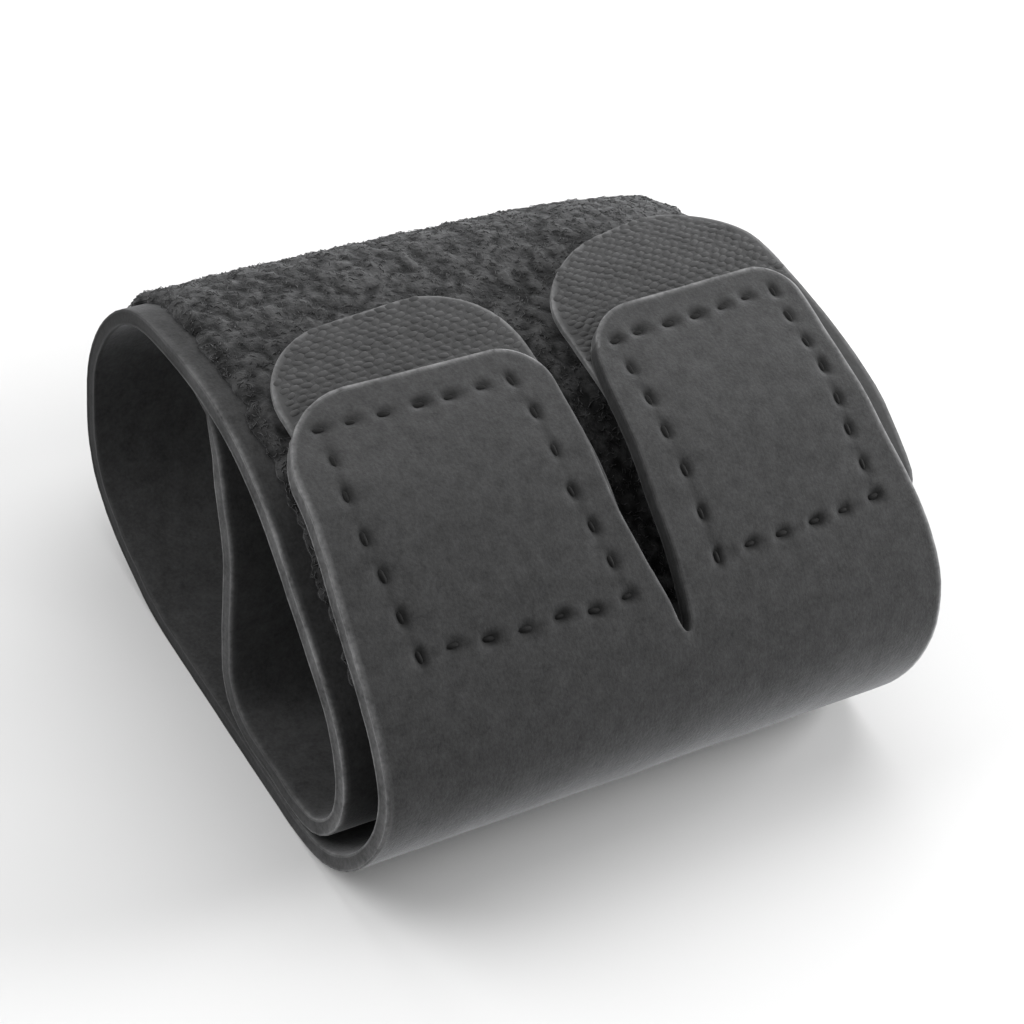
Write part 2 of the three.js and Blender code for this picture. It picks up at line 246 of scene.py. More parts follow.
def tree_of(points):
    """A lookup of the nearest of some points in mm."""
    tree = kdtree.KDTree(len(points))
    for i, p in enumerate(points):
        tree.insert(p, i)
    tree.balance()
    return lambda others: np.array([tree.find(p)[2] for p in others])


def speckle(points, size, seed):
    """Smooth noise from -1 to 1 at points in mm, with patches of a size in mm."""
    shift = Vector((seed * 7.3, seed * 3.1, seed * 5.7))
    return np.array([noise.noise(Vector(p) / size + shift) for p in points])


def slab(name, grids, low, high, look, rim=0.14, rim_out=0.03, core_in=0.012, cut_seed=1):
    """A closed wall over joined grids of (distance, across), from height low to high, with its cut edge.

    grids is a list of (ids, distance, across). low, high, the look's share of light frayed fibre and painted
    highlight at the cut, and the values of look["marks"] are functions of flat arrays of both.
    look["slots"] holds the materials of the faces, the rim and the core.
    """
    count = max(int(g[0].max()) for g in grids) + 1
    distance, across = np.zeros(count), np.zeros(count)
    quads = []
    for ids, d, a in grids:
        distance[ids], across[ids] = d, a
        quads.append(np.stack([ids[:-1, :-1], ids[:-1, 1:], ids[1:, 1:], ids[1:, :-1]], -1).reshape(-1, 4))
    quads = np.vstack(quads)
    middle, up, along = look["path"].place(distance, across, 0.0)
    high_at, low_at = high(distance, across), low(distance, across)
    edges = {}
    for q in quads:
        ring = [v for i, v in enumerate(q) if v != q[(i + 1) % 4]]
        for i, v in enumerate(ring):
            edges[(int(v), int(ring[(i + 1) % len(ring)]))] = True
    follows = {a: b for a, b in edges if (b, a) not in edges}
    loops = []
    while follows:
        start = next(iter(follows))
        loop, at = [start], follows.pop(start)
        while at != start:
            loop.append(at)
            at = follows.pop(at)
        loops.append(np.array(loop))
    points = [middle + up * high_at[:, None], middle + up * low_at[:, None]]
    faces = [[int(v) for i, v in enumerate(q) if v != q[(i + 1) % 4]] for q in quads]
    kinds = [0] * len(faces)
    faces += [[count + v for v in f[::-1]] for f in faces[:len(quads)]]
    kinds += [0] * len(quads)
    flat = np.stack([distance, across], -1)
    uv_of = [flat, flat]
    # how much light frayed fibre and painted highlight the cut carries: strongest at the very edge and gone
    # within about 0.26 mm
    fuzz_and_highlight_reach = 0.26
    where = look["fuzz"](distance, across) if "fuzz" in look else np.zeros(count)
    cut = np.zeros(count)
    if where.any():
        border = np.column_stack([flat[np.concatenate(loops)], np.zeros(sum(len(q) for q in loops))])
        cut = where * np.exp(-(tree_of(border)(np.column_stack([flat, np.zeros(count)])) / fuzz_and_highlight_reach) ** 2)
    marks = {label: mark(distance, across) for label, mark in look.get("marks", {}).items()}
    values = {"cut_edge": [cut, cut]}
    for label, v in marks.items():
        values[label] = [v, v]
    total = 2 * count
    # share of the thickness down from the top, mm out from the cut, and how much light frayed fibre and painted
    # highlight
    profile = [(0.045, rim_out * 0.8, 1), (rim, rim_out, 1), (rim + 0.06, -core_in, 0.95), (0.35, -core_in, 0.8),
               (0.5, -core_in, 0.7), (0.65, -core_in, 0.6), (0.94 - rim, -core_in, 0.6), (1 - rim, rim_out, 0.8),
               (0.955, rim_out * 0.8, 0.7)]
    for loop in loops:
        here, n = middle[loop], up[loop]
        t = np.roll(here, -1, 0) - np.roll(here, 1, 0)
        o = np.cross(t, n)
        o /= np.maximum(np.linalg.norm(o, axis=1), 1e-9)[:, None]
        wave = 0.6 * speckle(here, 2.2, cut_seed) + 0.4 * speckle(here, 0.7, cut_seed + 1)
        thick = high_at[loop] - low_at[loop]
        rings = [loop]
        for share, push, fuzz_and_highlight_share in profile:
            height = high_at[loop] - share * thick
            shove = push + 0.04 * wave + 0.055 * speckle(here + n * share * 3, 0.42, cut_seed + 2)
            shove *= np.clip(thick / 0.6, 0, 1)
            points.append(here + n * height[:, None] + o * shove[:, None])
            uv_of.append(flat[loop] + share)
            values["cut_edge"].append(where[loop] * fuzz_and_highlight_share)
            for label, v in marks.items():
                values[label].append(v[loop])
            rings.append(np.arange(total, total + len(loop)))
            total += len(loop)
        rings.append(loop + count)
        for k in range(len(rings) - 1):
            a, b = rings[k], rings[k + 1]
            kind = 1 if k in (0, 1, len(rings) - 3, len(rings) - 2) else 2
            for i in range(len(loop)):
                j = (i + 1) % len(loop)
                faces.append([int(a[i]), int(b[i]), int(b[j]), int(a[j])])
                kinds.append(kind)
    points, uv_of = np.vstack(points), np.vstack(uv_of)
    points[:, 2] = np.maximum(points[:, 2], 0.0)
    mesh = bpy.data.meshes.new(name)
    mesh.from_pydata((points * 0.001).tolist(), [], faces)
    for m in look["slots"]:
        mesh.materials.append(m)
    mesh.polygons.foreach_set("material_index", kinds)
    mesh.polygons.foreach_set("use_smooth", [True] * len(faces))
    for label, parts in values.items():
        mesh.attributes.new(label, "FLOAT", "POINT").data.foreach_set("value", np.concatenate(parts))
    layer = mesh.uv_layers.new(name="cloth")
    corner = np.zeros(len(mesh.loops), dtype=int)
    mesh.loops.foreach_get("vertex_index", corner)
    layer.data.foreach_set("uv", (uv_of[corner] * 0.01).ravel())
    mesh.update()
    mesh.calc_loop_triangles()
    tri = np.zeros(3 * len(mesh.loop_triangles), dtype=int)
    mesh.loop_triangles.foreach_get("vertices", tri)
    a, b, c = (points[tri.reshape(-1, 3)[:, k]] for k in range(3))
    if float((a * np.cross(b, c)).sum()) < 0:
        mesh.flip_normals()
    obj = bpy.data.objects.new(name, mesh)
    bpy.context.scene.collection.objects.link(obj)
    return obj


# The stitched box on each tab: corners and mid-sides of the seam, as out along the flap and mm across
near_seam = [dict(out=0.661, across=4.1), dict(out=0.661, across=21.0), dict(out=0.516, across=21.0),
             dict(out=0.385, across=22.5), dict(out=0.388, across=4.5), dict(out=0.527, across=3.3)]
far_seam = [dict(out=0.678, across=31.0), dict(out=0.689, across=47.4), dict(out=0.533, across=47.0),
            dict(out=0.409, across=46.6), dict(out=0.398, across=31.2), dict(out=0.548, across=30.6)]
stitch_pitch, dip_long, dip_wide = 2.9, 0.74, 0.46
rng = np.random.default_rng(7)


def seam_points(seam):
    """Needle holes round a stitched box, as (distance, across), at about the stitch pitch."""
    corners = np.array([(flap_start + r["out"] * flap_run, r["across"]) for r in seam])
    holes = []
    for a, b in zip(corners, np.roll(corners, -1, 0)):
        n = max(int(round(np.linalg.norm(b - a) / stitch_pitch)), 1)
        for i in range(n):
            holes.append(a + (b - a) * i / n)
    return np.array(holes) + rng.normal(0, 0.12, (len(holes), 2))


seams = [seam_points(near_seam), seam_points(far_seam)]
pulls = [rng.uniform(0.55, 1.15, len(holes)) for holes in seams]


def seam_relief(distance, across):
    """How far the thread pulls the face in, in mm, and how much painted shade it gets in a needle hole's dip and
    along the seam's groove, 0 to 1.
    """
    relief, shade = np.zeros_like(distance), np.zeros_like(distance)
    for holes, pull in zip(seams, pulls):
        for a, b, strength in zip(holes, np.roll(holes, -1, 0), pull):
            near = (np.abs(distance - a[0]) < 6) & (np.abs(across - a[1]) < 6)
            if not near.any():
                continue
            d, c = distance[near], across[near]
            v = b - a
            long = np.linalg.norm(v)
            v = v / long
            s = (d - a[0]) * v[0] + (c - a[1]) * v[1]
            off = -(d - a[0]) * v[1] + (c - a[1]) * v[0]
            gap = np.where(s < 0, -s, np.where(s > long, s - long, 0))
            from_seam = np.hypot(off, gap)
            quilt = 0.06 * np.exp(-(from_seam / 1.4) ** 2) + 0.06 * np.exp(-(from_seam / 0.42) ** 2)
            dip = strength * np.exp(-(np.abs(s) / dip_long) ** 2.8 - (np.abs(off) / dip_wide) ** 2.4)
            pucker = 0.08 * np.exp(-((np.abs(s) - 1.25) / 0.42) ** 2 - (off / 0.5) ** 2)
            relief[near] = np.maximum(relief[near], quilt + 0.27 * dip) - pucker
            # painted shade: a dark line along the seam's groove and a dark oval in each needle hole's dip
            line = 0.46 * strength * np.exp(-(from_seam / 0.32) ** 2)
            shade[near] = np.maximum(shade[near], np.maximum(np.minimum(1.7 * dip, 1), line))
    return relief, shade


def strip_rows(last, fine_from, fine_to, marks):
    """Stations along the strip: close together where the seams are, wider apart elsewhere."""
    stops = [0.0, fine_from, fine_to, last]
    rows = []
    for a, b, step in zip(stops, stops[1:], (1.05, 0.28, 0.3)):
        if b > a:
            rows += list(np.linspace(a, b, max(int(math.ceil((b - a) / step)), 1), endpoint=False))
    rows.append(last)
    rows = [r for r in rows if all(abs(r - m) > 0.05 for m in marks)] + list(marks)
    return np.array(sorted(rows))


tip = flap_start + slit_tip * flap_run
split = flap_start + (slit_tip + slit_tip_round) * flap_run
seam_low = flap_start + 0.365 * flap_run
tip_marks = [tip + (split - tip) * share for share in (0, 0.04, 0.15, 0.35, 0.65, 1)]
columns = 88


def tab_marks(tab):
    end = flap_start + tab["end"] * flap_run
    return [end - tab[c] * s for c in ("outer_corner", "slit_corner") for s in (0.15, 0.06, 0.02)]


def half_grid(tab, outer, inner, sign, first_id, share_ids=None):
    """One half of the strip, from the opening's edge to the slit's side, out to its tab's rounded end."""
    end = flap_start + tab["end"] * flap_run
    common = strip_rows(split, min(seam_low, split), split, tip_marks[:-1])
    beyond = strip_rows(end - split, 0, end - split - 0.001, [])[1:] + split
    extra = [m for m in tab_marks(tab) if m > split]
    beyond = np.array(sorted([r for r in beyond if all(abs(r - m) > 0.05 for m in extra)] + extra))
    rows = np.r_[common, beyond]
    left = end - rows
    a = outer(rows) + sign * corner_in(tab["outer_corner"], left)
    b = inner(rows) - sign * corner_in(tab["slit_corner"], left)
    lo, hi = (a, b) if sign > 0 else (b, a)
    across = lo[:, None] + (hi - lo)[:, None] * np.linspace(0, 1, columns + 1)[None]
    distance = np.repeat(rows[:, None], columns + 1, 1)
    if tab["slant"]:
        reach = np.clip((out_at(rows) - slit_tip) / (tab["end"] - slit_tip), 0, 1)[:, None]
        share = np.clip((hi[-1] - across) / (hi[-1] - lo[-1]), 0, 1)
        distance = distance - tab["slant"] * share * reach**2
    ids = first_id + np.arange(across.size).reshape(across.shape)
    if share_ids is not None:
        joined = rows <= tip + 1e-9
        ids[joined, 0] = share_ids[:joined.sum(), -1]
        own = np.unique(ids[ids >= first_id])
        lookup = {int(v): first_id + i for i, v in enumerate(own)}
        ids = np.array([[v if v < first_id else lookup[int(v)] for v in line] for line in ids])
    return ids, distance, across


near_grid = half_grid(near_tab, near_edge, slit_near, 1, 0)
far_grid = half_grid(far_tab, far_edge, slit_far, -1, near_grid[0].size, near_grid[0])


def face_wave(distance, across, seed):
    points = np.stack([distance, across, np.full_like(distance, 3.0 * seed)], -1)
    return 0.05 * speckle(points, 7.0, seed) + 0.022 * speckle(points, 2.4, seed + 4)


skived = 6.5


def thinned(distance):
    """The share of the full thickness: the sewn end is skived to a feather edge."""
    return 0.05 + 0.95 * np.clip(distance / skived, 0, 1) ** 1.4


def sunk(distance):
    """How far the very tip of the sewn end lies in the wall above, in mm."""
    return 0.25 * (1 - np.clip(distance / 3.0, 0, 1)) ** 2


def face_high(distance, across):
    full = sheet / 2 + face_wave(distance, across, 1) - seam_relief(distance, across)[0]
    return -sheet / 2 - sunk(distance) + (full + sheet / 2) * thinned(distance)


def face_low(distance, across):
    pressed = 0.2 * (1 - np.clip(distance / skived, 0, 1))
    return -sheet / 2 - pressed - sunk(distance) + 0.6 * face_wave(distance, across, 2) * thinned(distance)


def new_material(name, base, roughness, sheen, sheen_roughness=0.5):
    """A node material with its Principled shader, and the plain numbers set on the shader itself."""
    m = bpy.data.materials.new(name)
    m.use_nodes = True
    shader = m.node_tree.nodes["Principled BSDF"]
    shader.inputs["Base Color"].default_value = (base, base, base * 1.01, 1)
    shader.inputs["Roughness"].default_value = roughness
    shader.inputs["Specular IOR Level"].default_value = 0.25
    shader.inputs["Sheen Weight"].default_value = sheen
    shader.inputs["Sheen Roughness"].default_value = sheen_roughness
    shader.inputs["Sheen Tint"].default_value = (0.75, 0.76, 0.78, 1)
    return m, shader


def new_tree(name, kind, inputs, outputs):
    """A node tree with its named inputs, each with its socket's kind and value, and its named outputs."""
    t = bpy.data.node_groups.new(name, kind)
    for label, socket, value in inputs:
        made = t.interface.new_socket(label, in_out="INPUT", socket_type=socket)
        if value is not None:
            made.default_value = value
    for label, socket in outputs:
        t.interface.new_socket(label, in_out="OUTPUT", socket_type=socket)
    return t


def wired(tree, kinds, wires, types):
    """Adds named nodes to a tree and joins their sockets, one "node socket > node socket" on each line."""
    made = {name: tree.nodes.new(kind) for name, kind in kinds.items()}
    made["in"], made["out"] = tree.nodes.new("NodeGroupInput"), tree.nodes.new("NodeGroupOutput")
    for name, data_type in types.items():
        made[name].data_type = data_type
    for wire in wires.strip().splitlines():
        (a, one), (b, two) = (end.strip().split(" ", 1) for end in wire.split(" > "))
        tree.links.new(made[a].outputs[int(one) if one.isdigit() else one],
                       made[b].inputs[int(two) if two.isdigit() else two])
    return made


def mottle_group():
    """Grain for cloth: a colour between two greys and a height, from patches and fine fibres."""
    g = new_tree("cloth_grain", "ShaderNodeTree", [
        ("Dark", "NodeSocketColor", (0.03, 0.03, 0.03, 1)), ("Light", "NodeSocketColor", (0.06, 0.06, 0.06, 1)),
        ("Patch scale", "NodeSocketFloat", 300.0), ("Fibre scale", "NodeSocketFloat", 2500.0),
        ("Fibre share", "NodeSocketFloat", 0.5)], [("Color", "NodeSocketColor"), ("Height", "NodeSocketFloat")])
    made = wired(g, dict(place="ShaderNodeTexCoord", patch="ShaderNodeTexNoise", fibre="ShaderNodeTexNoise",
                         both="ShaderNodeMix", ramp="ShaderNodeMapRange", mix="ShaderNodeMix"), """
        place Object > patch Vector
        place Object > fibre Vector
        in Patch scale > patch Scale
        in Fibre scale > fibre Scale
        in Fibre share > both Factor
        patch Fac > both 2
        fibre Fac > both 3
        both 0 > ramp Value
        ramp Result > mix Factor
        in Dark > mix 6
        in Light > mix 7
        mix 2 > out Color
        both 0 > out Height""", dict(mix="RGBA"))
    made["patch"].inputs["Detail"].default_value, made["fibre"].inputs["Detail"].default_value = 3, 4
    made["fibre"].inputs["Roughness"].default_value = 0.65
    ramp = made["ramp"].inputs
    ramp["From Min"].default_value, ramp["From Max"].default_value = 0.3, 0.7
    return g


cloth_grain = mottle_group()


def grained(m, shader, dark, light, patch, fibre, share, depth):
    """Puts the grain into a material: its colour on the shader, its height through a bump."""
    n, link = m.node_tree.nodes, m.node_tree.links.new
    grain, bump = n.new("ShaderNodeGroup"), n.new("ShaderNodeBump")
    grain.node_tree = cloth_grain
    grain.inputs["Dark"].default_value = (dark, dark, dark * 1.01, 1)
    grain.inputs["Light"].default_value = (light, light, light * 1.01, 1)
    grain.inputs["Patch scale"].default_value = patch
    grain.inputs["Fibre scale"].default_value = fibre
    grain.inputs["Fibre share"].default_value = share
    bump.inputs["Strength"].default_value = 0.6
    bump.inputs["Distance"].default_value = depth
    link(grain.outputs["Color"], shader.inputs["Base Color"])
    link(grain.outputs["Height"], bump.inputs["Height"])
    link(bump.outputs["Normal"], shader.inputs["Normal"])
    return m


def knit_group():
    """Fine jersey: columns of small slanted loops on the cloth map, a little uneven, as a height from 0 to 1."""
    g = new_tree("jersey_knit", "ShaderNodeTree", [(label, "NodeSocketFloat", value) for label, value in (
        ("Wales", 31.0), ("Courses", 38.0), ("Slant", 0.9), ("Sway", 1.6), ("Sway scale", 1100.0))],
        [("Height", "NodeSocketFloat")])
    made = wired(g, dict(place="ShaderNodeUVMap", split="ShaderNodeSeparateXYZ", space="ShaderNodeTexCoord",
                         uneven="ShaderNodeTexNoise"), """
        place UV > split 0
        space Object > uneven Vector
        in Sway scale > uneven Scale""", {})
    made["place"].uv_map = "cloth"
    a, split, uneven = made["in"], made["split"], made["uneven"]

    def sum_of(kind, one, two=None):
        m = g.nodes.new("ShaderNodeMath")
        m.operation = kind
        for i, v in enumerate((one, two)):
            if v is None:
                continue
            if isinstance(v, (int, float)):
                m.inputs[i].default_value = v
            else:
                g.links.new(v, m.inputs[i])
        return m.outputs[0]

    sway = sum_of("MULTIPLY", sum_of("SUBTRACT", uneven.outputs["Fac"], 0.5), a.outputs["Sway"])
    across = sum_of("ADD", sum_of("MULTIPLY", sum_of("MULTIPLY", split.outputs[1], 10.0), a.outputs["Wales"]), sway)
    along = sum_of("MULTIPLY", sum_of("MULTIPLY", split.outputs[0], 10.0), a.outputs["Courses"])
    from_wale = sum_of("ABSOLUTE", sum_of("SUBTRACT", sum_of("FRACT", across), 0.5))
    stepped = sum_of("ADD", sum_of("SUBTRACT", along, sway), sum_of("MULTIPLY", from_wale, a.outputs["Slant"]))
    loops_up = sum_of("SINE", sum_of("MULTIPLY", stepped, math.tau))
    valley = sum_of("SINE", sum_of("MULTIPLY", sum_of("FRACT", across), math.pi))
    height = sum_of("MULTIPLY", sum_of("ADD", sum_of("MULTIPLY", loops_up, 0.3), 0.7), valley)
    g.links.new(height, made["out"].inputs["Height"])
    return g


def fuzz_highlight_and_hole_shade_group():
    """Light, patchy frayed fibre with painted highlight along a knife cut, and painted shade in a needle hole
    and along its seam, laid over a colour.
    """
    g = new_tree("fuzz_highlight_and_hole_shade", "ShaderNodeTree", [
        ("Color", "NodeSocketColor", (0.04, 0.04, 0.04, 1)), ("Fuzz", "NodeSocketColor", (0.2, 0.2, 0.2, 1)),
        ("Patch scale", "NodeSocketFloat", 420.0), ("Fibre scale", "NodeSocketFloat", 2900.0)],
        [("Color", "NodeSocketColor")])
    made = wired(g, dict(cut="ShaderNodeAttribute", hole="ShaderNodeAttribute", space="ShaderNodeTexCoord",
                         patch="ShaderNodeTexNoise", fibre="ShaderNodeTexNoise", both="ShaderNodeMix",
                         ramp="ShaderNodeMapRange", part="ShaderNodeMath", light="ShaderNodeMix",
                         dark="ShaderNodeMix"), """
        space Object > patch Vector
        space Object > fibre Vector
        in Patch scale > patch Scale
        in Fibre scale > fibre Scale
        patch Fac > both 2
        fibre Fac > both 3
        both 0 > ramp Value
        cut Fac > part 0
        ramp Result > part 1
        part 0 > light Factor
        in Color > light 6
        in Fuzz > light 7
        hole Fac > dark Factor
        light 2 > dark 6
        dark 2 > out Color""", dict(light="RGBA", dark="RGBA"))
    made["cut"].attribute_name, made["hole"].attribute_name = "cut_edge", "hole_shade"
    made["both"].inputs["Factor"].default_value = 0.45
    made["part"].operation = "MULTIPLY"
    ramp = made["ramp"].inputs
    ramp["From Min"].default_value, ramp["From Max"].default_value = 0.22, 0.66
    made["dark"].inputs[7].default_value = (0.007, 0.007, 0.007, 1)
    return g


jersey_knit, fuzz_highlight_and_hole_shade = knit_group(), fuzz_highlight_and_hole_shade_group()


def fuzz_highlighted(m, shader, fuzz):
    """Lays the cut's light frayed fibre with its painted highlight, and the needle holes' painted shade, over a
    grained material's colour.
    """
    over = m.node_tree.nodes.new("ShaderNodeGroup")
    over.node_tree = fuzz_highlight_and_hole_shade
    over.inputs["Fuzz"].default_value = (fuzz, fuzz, fuzz * 1.01, 1)
    m.node_tree.links.new(shader.inputs["Base Color"].links[0].from_socket, over.inputs["Color"])
    m.node_tree.links.new(over.outputs["Color"], shader.inputs["Base Color"])
    return m


def knitted(m, shader, strength):
    """Adds the knit's height to a grained material."""
    knit, bump = m.node_tree.nodes.new("ShaderNodeGroup"), m.node_tree.nodes.new("ShaderNodeBump")
    grain = shader.inputs["Normal"].links[0].from_node
    knit.node_tree = jersey_knit
    bump.inputs["Strength"].default_value = strength
    bump.inputs["Distance"].default_value = 0.00008
    m.node_tree.links.new(knit.outputs["Height"], bump.inputs["Height"])
    m.node_tree.links.new(grain.outputs["Normal"], bump.inputs["Normal"])
    m.node_tree.links.new(bump.outputs["Normal"], shader.inputs["Normal"])
    return m


def pit_shaded(m, shader, pit_shade):
    """Paints shade into a grained material's colour in the pits between the tufts."""
    n, link = m.node_tree.nodes, m.node_tree.links.new
    clump, ramp, mix = (n.new(k) for k in ("ShaderNodeAttribute", "ShaderNodeMapRange", "ShaderNodeMix"))
    clump.attribute_name, mix.data_type = "clump", "RGBA"
    ramp.inputs["From Min"].default_value, ramp.inputs["From Max"].default_value = 0.25, 0.7
    link(clump.outputs["Fac"], ramp.inputs["Value"])
    link(ramp.outputs["Result"], mix.inputs["Factor"])
    mix.inputs[6].default_value = (pit_shade, pit_shade, pit_shade, 1)
    link(shader.inputs["Base Color"].links[0].from_socket, mix.inputs[7])
    link(mix.outputs[2], shader.inputs["Base Color"])
    return m


# The strip's own rows where the cut at the near opening carries more or less light frayed fibre and painted
# highlight, low where the cut lies in shade, as row and share
fuzz_and_highlight_rows = [dict(row=0, share=0.1), dict(row=4, share=0.75), dict(row=9, share=0.5), dict(row=12, share=0.15),
             dict(row=14, share=0.5), dict(row=16, share=1), dict(row=23, share=0.9), dict(row=27, share=0.35),
             dict(row=30, share=0), dict(row=42, share=0.05), dict(row=45, share=0.5), dict(row=48, share=0.9),
             dict(row=60, share=0.8)]


def cut_fuzz_and_highlight(distance, across):
    """The share of light frayed fibre and painted highlight at the strip's edges: least at the back fold, below it
    and inside the slit, where the cut lies in shade, and most at the tabs' lit ends.
    """
    share = np.interp(strip.row(distance), [r["row"] for r in fuzz_and_highlight_rows], [r["share"] for r in fuzz_and_highlight_rows])
    share = np.where(across > length * 0.75, 0.9, share)
    in_slit = (distance > tip - 0.5) & (np.minimum(np.abs(across - slit_near(distance)),
                                                   np.abs(across - slit_far(distance))) < 0.7)
    # painted shade: little light on the cut's sides inside the shaded slit
    share = np.where(in_slit, 0.12, share)
    # painted highlight: a light line along each tab's rounded end
    for tab, half in ((near_tab, across < length / 2), (far_tab, across > length / 2)):
        left = flap_start + tab["end"] * flap_run - distance
        share = np.where(half & (left < 2.5), np.maximum(share, 1 - left / 5), share)
    return share


# the light greys laid on the cut edges below (0.26, 0.2, 0.13) are frayed fibre with painted highlight; the same
# group paints shade into the needle holes
jersey_look = new_material("neoprene_jersey", 0.04, 0.9, 0.55, 0.4)
grained(*jersey_look, 0.017, 0.05, 800, 3400, 0.55, 0.00009)
fuzz_highlighted(*jersey_look, 0.26)
jersey = knitted(*jersey_look, 0.035)
rim_look = new_material("cut_jersey_rim", 0.06, 0.95, 0.12)
grained(*rim_look, 0.014, 0.036, 420, 3000, 0.5, 0.0001)
cut_jersey = fuzz_highlighted(*rim_look, 0.2)
foam_look = new_material("neoprene_foam", 0.04, 0.95, 0.1)
grained(*foam_look, 0.008, 0.022, 1200, 5000, 0.5, 0.0001)
foam_core = fuzz_highlighted(*foam_look, 0.13)

wrap = slab("wrap_cloth", [near_grid, far_grid], face_low, face_high,
            dict(path=strip, slots=[jersey, cut_jersey, foam_core], fuzz=cut_fuzz_and_highlight,
                 marks=dict(hole_shade=lambda d, a: seam_relief(d, a)[1])))
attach(wrap, "root")
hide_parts("wrap_sheet")


# Pile panel. A strip of brushed loop cloth bonded over the front fold, the top and the back fold, with a
# plain margin of neoprene at each opening. Its loops lie in clumps and its cut border is ragged.
pile_front, pile_back, near_margin, far_margin = 0.21, 0.83, 1.95, 0.7
pile_low = sheet / 2 + layer_gap
pile_ends = [float(top_path.distance(s * top_path.rows)) for s in (pile_front, pile_back)]
pile_rows = np.linspace(pile_ends[0], pile_ends[1], 196)
pile_columns = 190


def ragged(along, seed):
    points = np.stack([along, np.full_like(along, seed * 11.0), np.zeros_like(along)], -1)
    return (0.5 * speckle(points, 3.4, seed) + 0.4 * speckle(points, 1.1, seed + 1)
            + 0.3 * speckle(points, 0.5, seed + 2))


low_side = near_margin + ragged(pile_rows, 21)
high_side = length - far_margin + 0.4 * ragged(pile_rows, 25)
pile_across = low_side[:, None] + (high_side - low_side)[:, None] * np.linspace(0, 1, pile_columns + 1)[None]
pile_distance = np.repeat(pile_rows[:, None], pile_columns + 1, 1)
pile_grid = (np.arange(pile_across.size).reshape(pile_across.shape), pile_distance, pile_across)


def clumps(distance, across):
    """The tufts' height, from about -0.6 to 0.6."""
    points = np.stack([distance, across, np.zeros_like(distance)], -1)
    return 0.5 * speckle(points, 2.4, 31) + 0.75 * speckle(points, 1.05, 33) + 0.5 * speckle(points, 0.55, 35)


def from_border(distance, across):
    sides = np.minimum(across - np.interp(distance, pile_rows, low_side),
                       np.interp(distance, pile_rows, high_side) - across)
    return np.minimum(sides, np.minimum(distance - pile_ends[0], pile_ends[1] - distance))


def pile_high(distance, across):
    soft = np.sin(np.clip(from_border(distance, across) / 0.9 + 0.08, 0, 1) * math.pi / 2)
    return pile_low + 0.02 + (pile - 0.18) * soft + (0.03 + 0.17 * soft) * clumps(distance, across)


pile_look = new_material("loop_pile", 0.03, 1.0, 0.3)
grained(*pile_look, 0.014, 0.06, 640, 2900, 0.6, 0.0003)
# 0.005 is painted shade in the pits between the tufts
pile_cloth = pit_shaded(*pile_look, 0.005)
fibre_look = new_material("loop_fibres", 0.05, 0.9, 0.3)
pile_fibre = grained(*fibre_look, 0.019, 0.072, 640, 2600, 0.3, 0.0001)
pile_base = slab("pile_cloth", [pile_grid], lambda d, a: np.full_like(d, pile_low - 0.11), pile_high,
                 dict(path=top_path, slots=[pile_cloth] * 3,
                      marks=dict(clump=lambda d, a: np.clip(0.5 + 0.95 * clumps(d, a), 0, 1))),
                 rim_out=0.05, cut_seed=41)


def grown(name, source, tree, values):
    """Runs a tree on a source object and keeps its result as a plain mesh piece."""
    carrier = bpy.data.objects.new(name + "_source", source.data)
    bpy.context.scene.collection.objects.link(carrier)
    modifier = carrier.modifiers.new("make", "NODES")
    modifier.node_group = tree
    for item in tree.interface.items_tree:
        if item.item_type == "SOCKET" and item.in_out == "INPUT" and item.name in values:
            modifier[item.identifier] = values[item.name]
    carrier.update_tag()
    bpy.context.view_layer.update()
    made = carrier.evaluated_get(bpy.context.evaluated_depsgraph_get())
    mesh = bpy.data.meshes.new_from_object(made)
    mesh.name = name
    bpy.data.objects.remove(carrier)
    obj = bpy.data.objects.new(name, mesh)
    bpy.context.scene.collection.objects.link(obj)
    return obj


def tube(name, points, radii, sides, smooth=True, flat=1.0):
    """A closed tube along a few points in mm, kept as a hidden shape that a tree repeats."""
    p = np.asarray(points, float)
    rings = []
    for i, (c, r) in enumerate(zip(p, radii)):
        t = p[min(i + 1, len(p) - 1)] - p[max(i - 1, 0)]
        t /= np.linalg.norm(t)
        side = np.cross(t, (0.0, 1.0, 0.0)) if abs(t[1]) < 0.9 else np.cross(t, (1.0, 0.0, 0.0))
        side /= np.linalg.norm(side)
        other = np.cross(t, side)
        side = side * flat
        rings.append([c + r * (math.cos(k * math.tau / sides) * side + math.sin(k * math.tau / sides) * other)
                      for k in range(sides)])
    verts = [v for ring in rings for v in ring]
    faces = [[i * sides + k, i * sides + (k + 1) % sides, (i + 1) * sides + (k + 1) % sides, (i + 1) * sides + k]
             for i in range(len(p) - 1) for k in range(sides)]
    faces += [list(range(sides))[::-1], [(len(p) - 1) * sides + k for k in range(sides)]]
    mesh = bpy.data.meshes.new(name)
    mesh.from_pydata((np.array(verts) * 0.001).tolist(), [], faces)
    mesh.polygons.foreach_set("use_smooth", [smooth] * len(faces))
    return bpy.data.objects.new(name, mesh)


